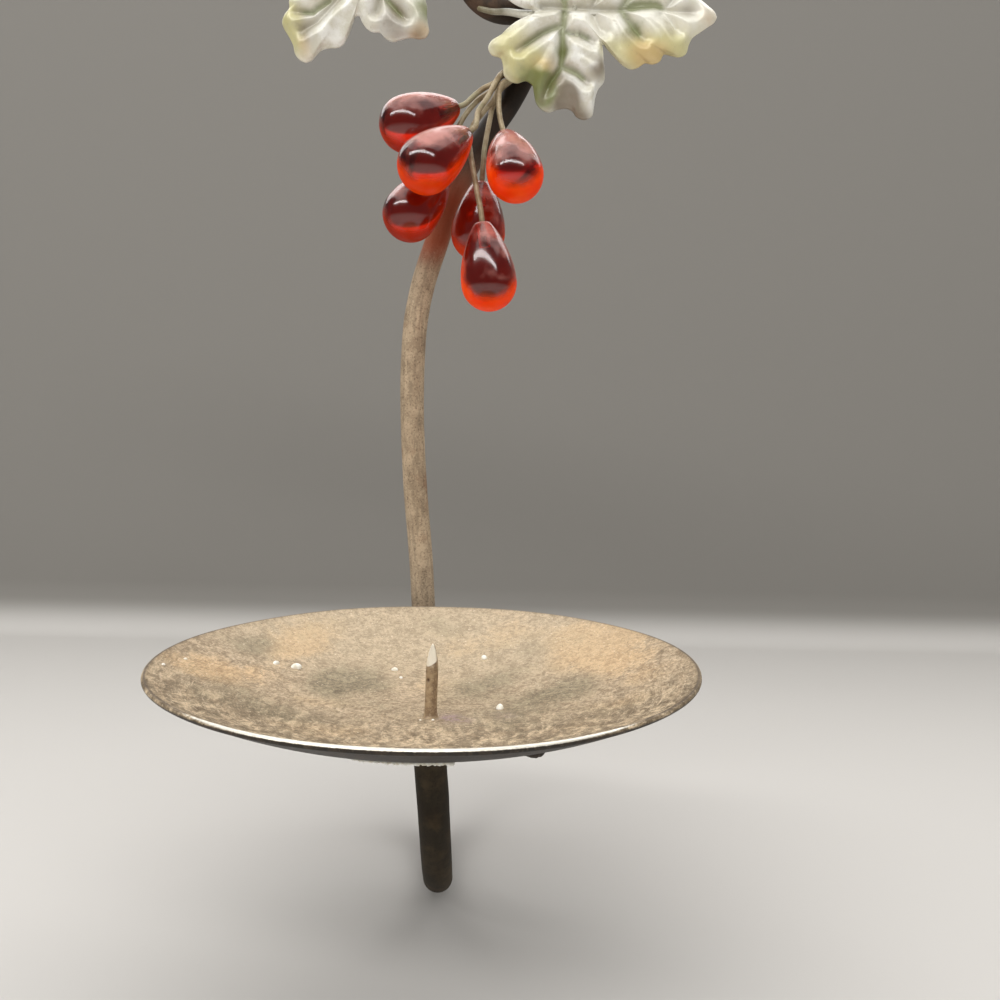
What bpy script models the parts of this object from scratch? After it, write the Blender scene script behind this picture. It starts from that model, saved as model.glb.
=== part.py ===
# A wall candle sconce: one bent iron rod hangs on a hook by its eye, sways down the wall like a vine,
# bends forward under a round dish with a candle spike, and carries two stamped leaves and six
# glassy berries on stiff wires.
#
# Metres, +Z up. The wall is the plane y = 0 and the room is on its -Y side. The origin is the point of
# the wall behind the inner top of the eye, where the hook bears.

import math

import bmesh
import bpy
import numpy as np
from mathutils import Vector

GAP = 0.0003                 # left between pieces that touch on the real object

ROD_RADIUS = 0.004
ROD_STEP = 0.0047            # between the points along the rod
ROD_SIDES = 3                # bevel resolution: ten sides

EYE_RADIUS = 0.01435         # the hanging eye, to the middle of the rod
EYE_END = 292                # degrees round the eye at which the rod ends

# The vine below the eye, as (sideways, height under the hook), upwards.
VINE = (
    (-0.0300, -0.1383), (-0.0291, -0.1250), (-0.0268, -0.1130), (-0.0224, -0.0990),
    (-0.0178, -0.0850), (-0.0122, -0.0735), (-0.0053, -0.0624), (0.0003, -0.0542),
    (0.0052, -0.0450), (0.0090, -0.0360), (0.0120, -0.0265),
)
# The plain stem between the bend and the vine, as (share of the way up, sideways).
STEM = ((0.31, -0.0265), (0.60, -0.0290), (0.85, -0.0301))

RIM_DROP = 0.2155            # from the hook down to the dish's rim
REACH = 0.103                # from the stem forward to the post, middle to middle
BEND_DROP = 0.0219           # from the rim down to the middle of the bend's arc
POST_X = -0.0157             # the post under the dish
STEM_FOOT_X = -0.0246        # the stem where the bend ends
BEND_BULGE = 0.0036          # sideways swing of the bend

DISH_RADIUS = 0.066
DISH_DEPTH = 0.0137          # from the rim to the seat
DISH_OFFSET = (-0.0012, 0.003)   # from the post to the dish's middle
SEAT_RADIUS = 0.0138         # the flat middle of the dish
SHEET = 0.0012               # thickness of the dish
RIM_BEAD = 0.0007            # radius of the rounded edge
BOWL_POINTS = 9
BEAD_POINTS = 8
DISH_STEPS = 48

SPIKE_RADIUS = 0.0015
SPIKE_HEIGHT = 0.018         # above the seat
SPIKE_TIP = 0.0054           # length of the pointed end
SPIKE_POINT = 0.0003         # radius of the very end
SPIKE_SHOULDER = (0.78, 0.75)    # share of the radius, and of the tip's length, where it rounds over
SPIKE_TANG = 0.006           # held in the top of the post
SPIKE_STEPS = 16

LEAF_SHEET = 0.0009
LEAF_PUFF = 0.0011           # swelling of the sheet between its veins
LEAF_GROOVE = 0.0045         # half width of the furrow along a vein
LEAF_DROOP = 0.0022          # how far a point LEAF_SPAN from the leaf's middle falls back
LEAF_SPAN = 0.034
STALK_RADIUS = 0.0011

WIRE_RADIUS = 0.00085
WIRE_STEP = 0.0028
ROOT_TOP = -0.0370           # the wires lie on the rod between these heights
ROOT_LOW = -0.0450
ROOT_TURN = 27               # degrees round the rod from one wire to the next

BERRY_RADIUS = 0.0087
BERRY_NECK = 0.0020
BERRY_SWELL = 0.8            # shape of the neck: less is fuller
BORE_DEPTH = 0.009           # hole for the wire in the berry
BERRY_STEPS = 14

# Outline of the right leaf's lower half, as (degrees from its midrib, reach in metres).
LEAF_HALF = (
    (0, 0.0454), (2, 0.0447), (4.4, 0.0426), (6.9, 0.0405), (10.9, 0.0380), (13.9, 0.0375),
    (18.4, 0.0374), (20.8, 0.0359), (21.9, 0.0334), (23.3, 0.0309), (27.7, 0.0307), (31.4, 0.0292),
    (33.8, 0.0269), (38.4, 0.0261), (43.3, 0.0246), (45.9, 0.0220), (46.5, 0.0192), (47.1, 0.0159),
    (48.0, 0.0130), (51.8, 0.0144), (57.6, 0.0173), (62.1, 0.0206), (65.8, 0.0229), (72.1, 0.0245),
    (75.7, 0.0269), (77.4, 0.0291), (79.5, 0.0317), (84.3, 0.0325), (88.8, 0.0314), (91.2, 0.0297),
    (94.4, 0.0291), (100.4, 0.0298), (104.8, 0.0311), (109.1, 0.0310), (114.0, 0.0297), (117.5, 0.0276),
    (121.6, 0.0256), (126.7, 0.0256), (130.7, 0.0278), (135.4, 0.0291), (139.7, 0.0292), (144.4, 0.0278),
    (149.4, 0.0270), (155.3, 0.0291), (159.9, 0.0291), (162.7, 0.0277), (164.6, 0.0242), (168.1, 0.0218),
    (172.4, 0.0186), (174.6, 0.0164), (176.5, 0.0138), (180, 0.0126),
)
# Outline of the left leaf all round, the same way, clockwise.
LEAF_ROUND = (
    (-94.9, 0.0199), (-91.2, 0.0212), (-85.7, 0.0228), (-81.5, 0.0249), (-78.8, 0.0266), (-74.8, 0.0274),
    (-70.7, 0.0268), (-65.6, 0.0251), (-57.6, 0.0242), (-51.5, 0.0239), (-46.7, 0.0224), (-43.1, 0.0207),
    (-36.1, 0.0203), (-31.4, 0.0195), (-25.8, 0.0177), (-20.6, 0.0161), (-18.0, 0.0166), (-17.3, 0.0187),
    (-16.8, 0.0213), (-16.3, 0.0235), (-15.2, 0.0256), (-12.5, 0.0272), (-7.4, 0.0287), (-3.9, 0.0305),
    (-2.6, 0.0328), (-1.5, 0.0352), (0.3, 0.0364), (2.9, 0.0369), (6.6, 0.0366), (10.3, 0.0351),
    (14.7, 0.0344), (19.5, 0.0342), (22.6, 0.0338), (25.6, 0.0320), (27.6, 0.0296), (31.9, 0.0286),
    (38, 0.0252), (45, 0.0195), (49, 0.0142), (54, 0.0150), (63, 0.0200), (74, 0.0245),
    (81, 0.0300), (88, 0.0305), (96, 0.0282), (105, 0.0298), (114, 0.0280), (122, 0.0240),
    (136, 0.0270), (147, 0.0245), (157, 0.0260), (168, 0.0180), (180, 0.0125), (192, 0.0180),
    (203, 0.0250), (214, 0.0230), (225, 0.0250), (240, 0.0215), (253, 0.0205),
)
# Main veins, as (degrees from the midrib, reach), clockwise positive.
VEINS_RIGHT = (
    (0, 0.045), (100, 0.031), (-100, 0.031), (150, 0.026), (-150, 0.026), (33, 0.026), (-33, 0.026),
)
VEINS_LEFT = (
    (0, 0.037), (-62, 0.026), (100, 0.029), (150, 0.025), (-150, 0.024), (33, 0.026), (-33, 0.018),
)
LEAF_RINGS = 5

# Each leaf: middle, direction of the midrib in degrees above +X, outline, veins and half that is given.
LEAVES = {
    "leaf_right": {
        "middle": (0.0210, -0.0180, -0.0298), "turn": 1.0,
        "outline": LEAF_HALF + tuple((360 - a, r) for a, r in LEAF_HALF[-2:0:-1]),
        "veins": VEINS_RIGHT,
    },
    "leaf_left": {
        "middle": (-0.0431, -0.0160, -0.0156), "turn": -126.0,
        "outline": LEAF_ROUND,
        "veins": VEINS_LEFT,
    },
}
# Each stalk: where it lies on the eye as (degrees round it, distance outside the rod's middle),
# free points on the way, and how far it runs under the leaf, from and to along the midrib.
STALKS = {
    "leaf_stalk_right": {
        "leaf": "leaf_right", "on_eye": ((238.5, 0.0034), (253, 0.0026), (266, 0.0020)),
        "free": (), "under": (-0.0135, 0.0070),
    },
    "leaf_stalk_left": {
        "leaf": "leaf_left", "on_eye": ((196, 0.0016), (184, 0.0024), (174, 0.0034)),
        "free": ((-0.0240, -0.0112, -0.0048),), "under": (-0.0125, 0.0070),
    },
}

# Each berry: the end of its neck, the middle of its bulb, its wire's place round the rod, counted from
# behind the left side, and the points by which the wire comes to it.
BERRIES = (
    {
        "neck": (-0.0157, -0.0165, -0.0589), "bulb": (-0.0308, -0.0240, -0.0667), "place": 1,
        "way": ((-0.0023, -0.0095, -0.0466), (-0.0033, -0.0125, -0.0496), (-0.0073, -0.0138, -0.0521),
                (-0.0110, -0.0148, -0.0554)),
    },
    {
        "neck": (-0.0117, -0.0275, -0.0698), "bulb": (-0.0238, -0.0366, -0.0819), "place": 2,
        "way": ((-0.0015, -0.0122, -0.0468), (-0.0030, -0.0155, -0.0497), (-0.0059, -0.0178, -0.0560),
                (-0.0088, -0.0218, -0.0617)),
    },
    {
        "neck": (-0.0191, -0.0180, -0.0796), "bulb": (-0.0296, -0.0237, -0.0939), "place": 0,
        "way": ((-0.0026, -0.0064, -0.0467), (-0.0033, -0.0098, -0.0498), (-0.0060, -0.0108, -0.0527),
                (-0.0090, -0.0117, -0.0551), (-0.0123, -0.0136, -0.0593), (-0.0152, -0.0153, -0.0648),
                (-0.0166, -0.0160, -0.0712)),
    },
    {
        "neck": (-0.0005, -0.0196, -0.0681), "bulb": (0.0031, -0.0316, -0.0829), "place": 5,
        "way": ((0.0030, -0.0138, -0.0490), (-0.0016, -0.0148, -0.0510), (-0.0025, -0.0158, -0.0560),
                (-0.0021, -0.0166, -0.0615)),
    },
    {
        "neck": (-0.0068, -0.0310, -0.0973), "bulb": (-0.0044, -0.0310, -0.1157), "place": 4,
        "way": ((0.0016, -0.0115, -0.0488), (-0.0016, -0.0127, -0.0510), (-0.0043, -0.0145, -0.0563),
                (-0.0074, -0.0170, -0.0605), (-0.0101, -0.0200, -0.0650), (-0.0115, -0.0225, -0.0697),
                (-0.0110, -0.0248, -0.0745), (-0.0093, -0.0281, -0.0841), (-0.0081, -0.0301, -0.0900)),
    },
    {
        "neck": (-0.0074, -0.0170, -0.0819), "bulb": (-0.0084, -0.0155, -0.0982), "place": 3,
        "way": ((0.0009, -0.0094, -0.0486), (-0.0016, -0.0105, -0.0510), (-0.0041, -0.0110, -0.0560),
                (-0.0057, -0.0130, -0.0640), (-0.0068, -0.0156, -0.0720)),
    },
)
ROOT_FIRST = -15             # degrees in front of the rod's left side for the wire in place 0
WIRE_LEAD = 0.003            # straight stretch of a wire before the berry

COLOURS = {
    "rod": ((0.27, 0.20, 0.14), 0.45, 0.6),
    "dish": ((0.45, 0.34, 0.23), 0.5, 0.5),
    "steel": ((0.45, 0.42, 0.38), 0.35, 0.9),
    "leaf": ((0.62, 0.60, 0.50), 0.35, 0.3),
    "stalk": ((0.55, 0.54, 0.40), 0.45, 0.2),
    "wire": ((0.40, 0.33, 0.23), 0.45, 0.5),
    "berry": ((0.55, 0.02, 0.02), 0.12, 0.0),
}

EYE_Z = ROD_RADIUS - EYE_RADIUS
WALL_Y = -ROD_RADIUS                 # the rod's middle where it lies on the wall
BEND_RADIUS = REACH / 2
BEND_Z = -RIM_DROP - BEND_DROP
POST_Y = WALL_Y - REACH
SEAT_Z = -RIM_DROP - DISH_DEPTH      # top of the seat
POST_TOP = SEAT_Z - SHEET - GAP
HOLE_RADIUS = SPIKE_RADIUS + GAP
BORE_RADIUS = WIRE_RADIUS + GAP


def clear_scene():
    for thing in list(bpy.data.objects):
        bpy.data.objects.remove(thing, do_unlink=True)


def collection(name, hidden=False):
    made = bpy.data.collections.new(name)
    made.hide_render = hidden
    bpy.context.scene.collection.children.link(made)
    return made


def material(name):
    colour, roughness, metallic = COLOURS[name]
    made = bpy.data.materials.new(name)
    made.use_nodes = True
    shader = made.node_tree.nodes["Principled BSDF"]
    shader.inputs["Base Color"].default_value = (*colour, 1)
    shader.inputs["Roughness"].default_value = roughness
    shader.inputs["Metallic"].default_value = metallic
    if name == "berry":
        shader.inputs["Transmission Weight"].default_value = 0.8
    return made


def add(name, data, finish, smooth=True):
    made = bpy.data.objects.new(name, data)
    parts.objects.link(made)
    data.materials.append(materials[finish])
    if smooth and made.type == "MESH":
        data.shade_smooth()
    return made


def smooth_route(points, step):
    # A curve through the points (Catmull-Rom on chord lengths), resampled at even steps.
    pts = np.array(points, float)
    chord = np.linalg.norm(np.diff(pts, axis=0), axis=1)
    t = np.concatenate([[0], np.cumsum(chord)])
    slope = np.gradient(pts, t, axis=0)
    fine = []
    for i, length in enumerate(chord):
        u = np.linspace(0, 1, 16, endpoint=i == len(chord) - 1)[:, None]
        fine.append(
            (2 * u**3 - 3 * u**2 + 1) * pts[i]
            + (u**3 - 2 * u**2 + u) * length * slope[i]
            + (3 * u**2 - 2 * u**3) * pts[i + 1]
            + (u**3 - u**2) * length * slope[i + 1]
        )
    fine = np.concatenate(fine)
    run = np.concatenate([[0], np.cumsum(np.linalg.norm(np.diff(fine, axis=0), axis=1))])
    at = np.linspace(0, run[-1], max(2, round(run[-1] / step)) + 1)
    return np.column_stack([np.interp(at, run, fine[:, k]) for k in range(3)])


def tube(name, points, radius, finish, bevel_resolution=2):
    curve = bpy.data.curves.new(name, "CURVE")
    curve.dimensions = "3D"
    curve.bevel_depth = radius
    curve.bevel_resolution = bevel_resolution
    curve.use_fill_caps = True
    spline = curve.splines.new("POLY")
    spline.points.add(len(points) - 1)
    for point, place in zip(spline.points, points):
        point.co = (*place, 1)
    return add(name, curve, finish)


def as_mesh(made):
    # The curve's evaluated shape as a mesh object of the same name, its caps welded to its sides.
    graph = bpy.context.evaluated_depsgraph_get()
    mesh = bpy.data.meshes.new_from_object(made.evaluated_get(graph))
    solid = bmesh.new()
    solid.from_mesh(mesh)
    bmesh.ops.remove_doubles(solid, verts=solid.verts, dist=1e-6)
    solid.to_mesh(mesh)
    solid.free()
    name, place = made.name, made.matrix_world.copy()
    bpy.data.objects.remove(made, do_unlink=True)
    copy = bpy.data.objects.new(name, mesh)
    copy.matrix_world = place
    parts.objects.link(copy)
    return copy


def profile_object(name, profile, finish):
    mesh = bpy.data.meshes.new(name)
    edges = [(i, i + 1) for i in range(len(profile) - 1)]
    mesh.from_pydata([(r, 0, z) for r, z in profile], edges, [])
    return add(name, mesh, finish, smooth=False)


def turned(name, profile, finish, steps):
    # The profile of (radius, height) turned round the Z axis.
    made = profile_object(name, profile, finish)
    screw = made.modifiers.new("turn", "SCREW")
    screw.steps = screw.render_steps = steps
    screw.use_merge_vertices = True
    screw.merge_threshold = 1e-6
    screw.use_smooth_shade = True
    return made


def eye_point(degrees, outside=0.0, forward=0.0):
    angle = math.radians(degrees)
    reach = EYE_RADIUS + outside
    return (reach * math.cos(angle), WALL_Y - forward, EYE_Z + reach * math.sin(angle))


def rod_points():
    # From the post's top down, round the bend, up the stem and the vine, and round the eye.
    pts = [(POST_X, POST_Y, POST_TOP), (POST_X, POST_Y, (POST_TOP + BEND_Z) / 2)]
    for degrees in range(0, 181, 15):
        angle = math.radians(degrees)
        share = degrees / 180
        across = share * share * (3 - 2 * share)
        x = POST_X + (STEM_FOOT_X - POST_X) * across + BEND_BULGE * math.sin(angle)
        y = POST_Y + BEND_RADIUS * (1 - math.cos(angle))
        pts.append((x, y, BEND_Z - BEND_RADIUS * math.sin(angle)))
    for share, x in STEM:
        pts.append((x, WALL_Y, BEND_Z + (VINE[0][1] - BEND_Z) * share))
    pts += [(x, WALL_Y, z) for x, z in VINE]
    turns = np.append(np.arange(0, EYE_END, 20), EYE_END)
    pts += [eye_point(degrees) for degrees in turns]
    return pts


def make_spike_cutter():
    # The round hole that the spike passes down: through the seat and into the top of the post.
    depth = SPIKE_TANG + GAP
    bpy.ops.mesh.primitive_cylinder_add(
        vertices=SPIKE_STEPS + 4, radius=HOLE_RADIUS, depth=2 * depth, location=(POST_X, POST_Y, POST_TOP)
    )
    cutter = bpy.context.object
    cutter.name = "spike_hole"
    for owner in list(cutter.users_collection):
        owner.objects.unlink(cutter)
    cutters.objects.link(cutter)
    cutter.hide_render = True
    cutter.display_type = "WIRE"
    return cutter


def cut(made, cutter):
    hole = made.modifiers.new("hole", "BOOLEAN")
    hole.object = cutter
    hole.operation = "DIFFERENCE"
    hole.solver = "EXACT"


def make_rod(cutter):
    rod = as_mesh(tube("vine_rod", route, ROD_RADIUS, "rod", ROD_SIDES))
    rod.data.shade_smooth()
    cut(rod, cutter)


def make_dish(cutter):
    # A flat seat, a bowl that steepens outwards as the square of the way, and a rounded rim.
    half = SHEET / 2
    low = -DISH_DEPTH - half
    bead_r = DISH_RADIUS - RIM_BEAD
    rise = -RIM_BEAD - low
    share = np.linspace(0, 1, BOWL_POINTS, endpoint=False)
    slope = np.arctan(2 * share * rise / (bead_r - SEAT_RADIUS))
    middle = np.column_stack([SEAT_RADIUS + (bead_r - SEAT_RADIUS) * share, low + rise * share**2])
    across = half * np.column_stack([-np.sin(slope), np.cos(slope)])
    turn = np.linspace(math.pi * 0.75, -math.pi * 0.45, BEAD_POINTS)
    bead = np.column_stack([bead_r + RIM_BEAD * np.cos(turn), -RIM_BEAD + RIM_BEAD * np.sin(turn)])
    profile = np.concatenate([
        [(0, low + half)], middle + across, bead, (middle - across)[::-1], [(0, low - half)]
    ])
    dish = turned("dish", profile, "dish", DISH_STEPS)
    dish.location = (POST_X + DISH_OFFSET[0], POST_Y + DISH_OFFSET[1], -RIM_DROP)
    cut(dish, cutter)


def make_spike():
    wide, down = SPIKE_SHOULDER
    foot = -SHEET - GAP - SPIKE_TANG
    profile = (
        (0, SPIKE_HEIGHT), (SPIKE_POINT, SPIKE_HEIGHT),
        (SPIKE_RADIUS * wide, SPIKE_HEIGHT - SPIKE_TIP * down),
        (SPIKE_RADIUS, SPIKE_HEIGHT - SPIKE_TIP), (SPIKE_RADIUS, foot), (0, foot),
    )
    spike = turned("spike", profile, "steel", SPIKE_STEPS)
    spike.location = (POST_X, POST_Y, SEAT_Z)


def leaf_back(along, across, leaf):
    # How far back from the leaf's middle plane the sheet lies: it falls away all round, and swells
    # forward between the veins.
    fall = LEAF_DROOP * (along**2 + across**2) / LEAF_SPAN**2
    nearest = np.full(np.shape(along), 1.0)
    for degrees, reach in leaf["veins"]:
        angle = math.radians(degrees)
        ca, sa = math.cos(angle), math.sin(angle)
        run = np.clip(along * ca + across * sa, 0, reach)
        nearest = np.minimum(nearest, np.hypot(along - run * ca, across - run * sa))
    return fall - LEAF_PUFF * (1 - np.exp(-((nearest / LEAF_GROOVE) ** 2)))


def leaf_place(along, across, leaf, back=0.0):
    # A point of the leaf, or one this far behind its sheet. Across is positive clockwise.
    x, y, z = leaf["middle"]
    turn = math.radians(leaf["turn"])
    ct, st = math.cos(turn), math.sin(turn)
    depth = leaf_back(along, across, leaf) + back
    return np.array([x + along * ct + across * st, y + depth, z + along * st - across * ct])


def make_leaf(name):
    leaf = LEAVES[name]
    angle = np.radians([a for a, _ in leaf["outline"]])
    reach = np.array([r for _, r in leaf["outline"]])
    mesh = bmesh.new()
    middle = mesh.verts.new(leaf_place(0.0, 0.0, leaf))
    rings = []
    for ring in range(1, LEAF_RINGS + 1):
        share = ring / LEAF_RINGS
        spots = leaf_place(share * reach * np.cos(angle), share * reach * np.sin(angle), leaf).T
        rings.append([mesh.verts.new(spot) for spot in spots])
    count = len(reach)
    for i in range(count):
        j = (i + 1) % count
        mesh.faces.new((middle, rings[0][i], rings[0][j]))
        for inner, outer in zip(rings, rings[1:]):
            mesh.faces.new((inner[i], outer[i], outer[j], inner[j]))
    bmesh.ops.recalc_face_normals(mesh, faces=mesh.faces)
    data = bpy.data.meshes.new(name)
    mesh.to_mesh(data)
    mesh.free()
    made = add(name, data, "leaf")
    wall = made.modifiers.new("sheet", "SOLIDIFY")
    wall.thickness = LEAF_SHEET
    wall.offset = 0


def make_stalk(name):
    # Along the front of the eye, then free, then under the leaf's midrib.
    stalk = STALKS[name]
    leaf = LEAVES[stalk["leaf"]]
    touch = ROD_RADIUS + STALK_RADIUS + GAP
    pts = []
    for degrees, outside in stalk["on_eye"]:
        pts.append(eye_point(degrees, outside, math.sqrt(touch**2 - outside**2)))
    pts += stalk["free"]
    behind = LEAF_SHEET / 2 + 2 * GAP + STALK_RADIUS
    for along in np.linspace(*stalk["under"], 4):
        pts.append(leaf_place(along, 0.0, leaf, behind))
    tube(name, smooth_route(pts, WIRE_STEP), STALK_RADIUS, "stalk")


def berry_frame(berry):
    neck, bulb = Vector(berry["neck"]), Vector(berry["bulb"])
    return neck, (bulb - neck).normalized(), (bulb - neck).length


def make_berry(number, berry):
    # A drop: a round bulb that narrows to a neck, with a hole down the neck for the wire.
    neck, direction, to_bulb = berry_frame(berry)
    profile = [(0, -BORE_DEPTH), (BORE_RADIUS, -BORE_DEPTH), (BORE_RADIUS, 0)]
    for share in np.linspace(0, 1, 7):
        swell = math.sin(share * math.pi / 2) ** BERRY_SWELL
        profile.append((BERRY_NECK + (BERRY_RADIUS - BERRY_NECK) * swell, -share * to_bulb))
    for angle in np.linspace(0, math.pi / 2, 6)[1:-1]:
        profile.append((BERRY_RADIUS * math.cos(angle), -to_bulb - BERRY_RADIUS * math.sin(angle)))
    profile.append((0, -to_bulb - BERRY_RADIUS))
    made = turned(f"berry_{number}", profile, "berry", BERRY_STEPS)
    made.rotation_mode = "QUATERNION"
    made.rotation_quaternion = direction.to_track_quat("-Z", "Y")
    made.location = neck


def rod_side(height, degrees, distance):
    # A point beside the vine at this height, degrees round from its left side towards the room.
    low = int(np.argmin(np.where(vine_part, np.abs(route[:, 2] - height), 1.0)))
    here = route[low]
    ahead = Vector(route[low + 1] - route[low - 1]).normalized()
    left = Vector((-ahead.z, 0, ahead.x)).normalized()
    here = Vector(here) + ahead * ((height - here[2]) / ahead.z)
    angle = math.radians(degrees)
    return here + (left * math.cos(angle) + Vector((0, -1, 0)) * math.sin(angle)) * distance


def make_wire(number, berry):
    # Along the rod, through the bunch and straight into the berry.
    neck, direction, _ = berry_frame(berry)
    degrees = ROOT_FIRST + ROOT_TURN * berry["place"]
    touch = ROD_RADIUS + WIRE_RADIUS + GAP
    pts = [rod_side(height, degrees, touch) for height in (ROOT_TOP, (ROOT_TOP + ROOT_LOW) / 2, ROOT_LOW)]
    pts += [Vector(spot) for spot in berry["way"]]
    inside = BORE_DEPTH - GAP
    pts += [neck - direction * WIRE_LEAD, neck, neck + direction * inside / 2, neck + direction * inside]
    tube(f"berry_wire_{number}", smooth_route(pts, WIRE_STEP), WIRE_RADIUS, "wire")


clear_scene()
parts = collection("wall_candle_sconce")
cutters = collection("cutters", hidden=True)
materials = {name: material(name) for name in COLOURS}
route = smooth_route(rod_points(), ROD_STEP)
route[:, 1] = np.minimum(route[:, 1], WALL_Y)
vine_part = (route[:, 2] > VINE[0][1]) & (route[:, 2] < EYE_Z) & (route[:, 1] > WALL_Y - GAP)

hole_cutter = make_spike_cutter()
make_rod(hole_cutter)
make_dish(hole_cutter)
make_spike()
for leaf_name in LEAVES:
    make_leaf(leaf_name)
for stalk_name in STALKS:
    make_stalk(stalk_name)
for index, one in enumerate(BERRIES, start=1):
    make_berry(index, one)
    make_wire(index, one)
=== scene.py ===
import math

import bpy
import numpy as np
from mathutils import Matrix, Vector


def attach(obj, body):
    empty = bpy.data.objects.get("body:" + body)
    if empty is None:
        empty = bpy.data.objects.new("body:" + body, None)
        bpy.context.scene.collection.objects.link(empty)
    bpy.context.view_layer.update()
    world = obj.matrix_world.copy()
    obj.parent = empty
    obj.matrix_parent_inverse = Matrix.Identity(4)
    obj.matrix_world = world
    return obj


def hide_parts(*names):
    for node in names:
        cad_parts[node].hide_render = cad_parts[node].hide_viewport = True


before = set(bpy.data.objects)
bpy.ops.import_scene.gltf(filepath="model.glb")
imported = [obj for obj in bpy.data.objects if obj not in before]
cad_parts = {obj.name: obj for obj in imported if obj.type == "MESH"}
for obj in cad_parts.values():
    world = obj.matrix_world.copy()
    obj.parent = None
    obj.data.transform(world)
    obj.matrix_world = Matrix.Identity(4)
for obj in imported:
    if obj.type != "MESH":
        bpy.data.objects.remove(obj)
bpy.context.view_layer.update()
mm = 0.001


# The linear values of a colour as it looks on a screen, 0 to 255.
def tone(red, green, blue):
    share = np.array([red, green, blue]) / 255
    linear = np.where(share <= 0.04045, share / 12.92, ((share + 0.055) / 1.055) ** 2.4)
    return (*linear.tolist(), 1.0)


# A value in a material's nodes, for sums written as sums.
class Flow:
    def __init__(self, paint, socket):
        self.paint, self.socket = paint, socket

    def sum(self, operation, *values):
        return self.paint.node("Math", values, {"operation": operation})

    def __add__(self, other):
        return self.sum("ADD", self, other)

    def __mul__(self, other):
        return self.sum("MULTIPLY", self, other)

    def __sub__(self, other):
        return self.sum("SUBTRACT", self, other)

    def __rsub__(self, other):
        return self.sum("SUBTRACT", other, self)

    __radd__, __rmul__ = __add__, __mul__


class Paint:
    def __init__(self, name, home=bpy.data.materials):
        self.owner = home.new(name)
        self.owner.use_nodes = True
        self.tree = self.owner.node_tree
        self.tree.nodes.clear()

    # Any node: its type, a value or a link for each socket, its settings, and the output that goes on.
    def node(self, kind, sockets=(), settings=None, out=0):
        made = self.tree.nodes.new("ShaderNode" + kind)
        for name, value in (settings or {}).items():
            setattr(made, name, value)
        pairs = sockets.items() if isinstance(sockets, dict) else enumerate(sockets)
        for key, value in pairs:
            if isinstance(value, Flow):
                self.tree.links.new(value.socket, made.inputs[key])
            else:
                made.inputs[key].default_value = value
        return Flow(self, made.outputs[out]) if made.outputs else None

    def place(self):
        return self.node("TexCoord", out="Object")

    def normal(self):
        return self.node("NewGeometry", out="Normal")

    def part(self, vector, axis="Z"):
        return self.node("SeparateXYZ", (vector,), out=axis)

    def scaled(self, vector, scale):
        return self.node("VectorMath", (vector, scale), {"operation": "MULTIPLY"})

    def layer(self, name, out="Fac"):
        return self.node("Attribute", (), {"attribute_name": name}, out)

    def noise(self, vector, scale, detail, rough, twist=0.0):
        names = ("Vector", "Scale", "Detail", "Roughness", "Distortion")
        return self.node("TexNoise", dict(zip(names, (vector, scale, detail, rough, twist))))

    # From 0 to 1, softly, as a value goes from low to high.
    def ease(self, value, low, high):
        settings = {"interpolation_type": "SMOOTHSTEP", "clamp": True}
        return self.node("MapRange", (value, low, high), settings)

    # Two colours, each a link or three screen values, blended by a share. The node takes colours at 6
    # and 7 and gives one at 2.
    def blend(self, share, first, second):
        first, second = (tone(*value) if isinstance(value, tuple) else value for value in (first, second))
        settings = {"data_type": "RGBA", "clamp_factor": True}
        return self.node("Mix", {0: share, 6: first, 7: second}, settings, 2)

    # Coats over a colour: for each a value, where it starts and ends, strength and colour.
    def coats(self, colour, *rows):
        for value, low, high, strength, shade in rows:
            colour = self.blend(self.ease(value, low, high) * strength, colour, shade)
        return colour

    def bump(self, height, distance, strength):
        return self.node("Bump", {"Strength": strength, "Distance": distance, "Height": height})

    # The place and two noises over it.
    def clouds(self, coarse, fine):
        place = self.place()
        return place, self.noise(place, coarse, 4, 0.6), self.noise(place, fine, 3, 0.6)

    def mix(self, share, first, second):
        return self.node("MixShader", (share, first, second))

    # A shader from its sockets' names, with _ for each space.
    def shader(self, **sockets):
        named = {key.replace("_", " "): value for key, value in sockets.items()}
        return self.node("BsdfPrincipled", named)

    def finish(self, surface, **ends):
        self.node("OutputMaterial", {"Surface": surface, **ends})
        return self.owner

    # The bump is its height, distance and strength.
    def lacquer(self, colour, rough, bump, **sockets):
        sockets.update(Base_Color=colour, Roughness=rough, Normal=self.bump(*bump))
        return self.finish(self.shader(**sockets))


def unit(vectors):
    return vectors / np.linalg.norm(vectors, axis=-1, keepdims=True)


# Points from coordinates of unlike shapes.
def joined(*parts):
    return np.stack(np.broadcast_arrays(*parts), -1)


# How far along a path each of its points is.
def lengths(path):
    return np.concatenate([[0], np.cumsum(np.linalg.norm(np.diff(path, axis=0), axis=1))])


def circle(count):
    return np.linspace(0, 2 * math.pi, count, endpoint=False)


# Directions at these angles round the circle that side and front span.
def rings(turn, side, front):
    return np.cos(turn)[:, None] * side[..., None, :] + np.sin(turn)[:, None] * front[..., None, :]


# Waves that don't repeat, about -1 to 1: a sum of sines of rising pitch.
def waves(x, seed, pitch=1.0, parts=5):
    rng = np.random.default_rng(seed)
    total = np.zeros(np.shape(x))
    for k in range(parts):
        total += np.sin(x * pitch * (1 + 0.83 * k) + rng.uniform(0, 2 * math.pi)) / (1 + 0.5 * k)
    return total / 2.4


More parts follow.
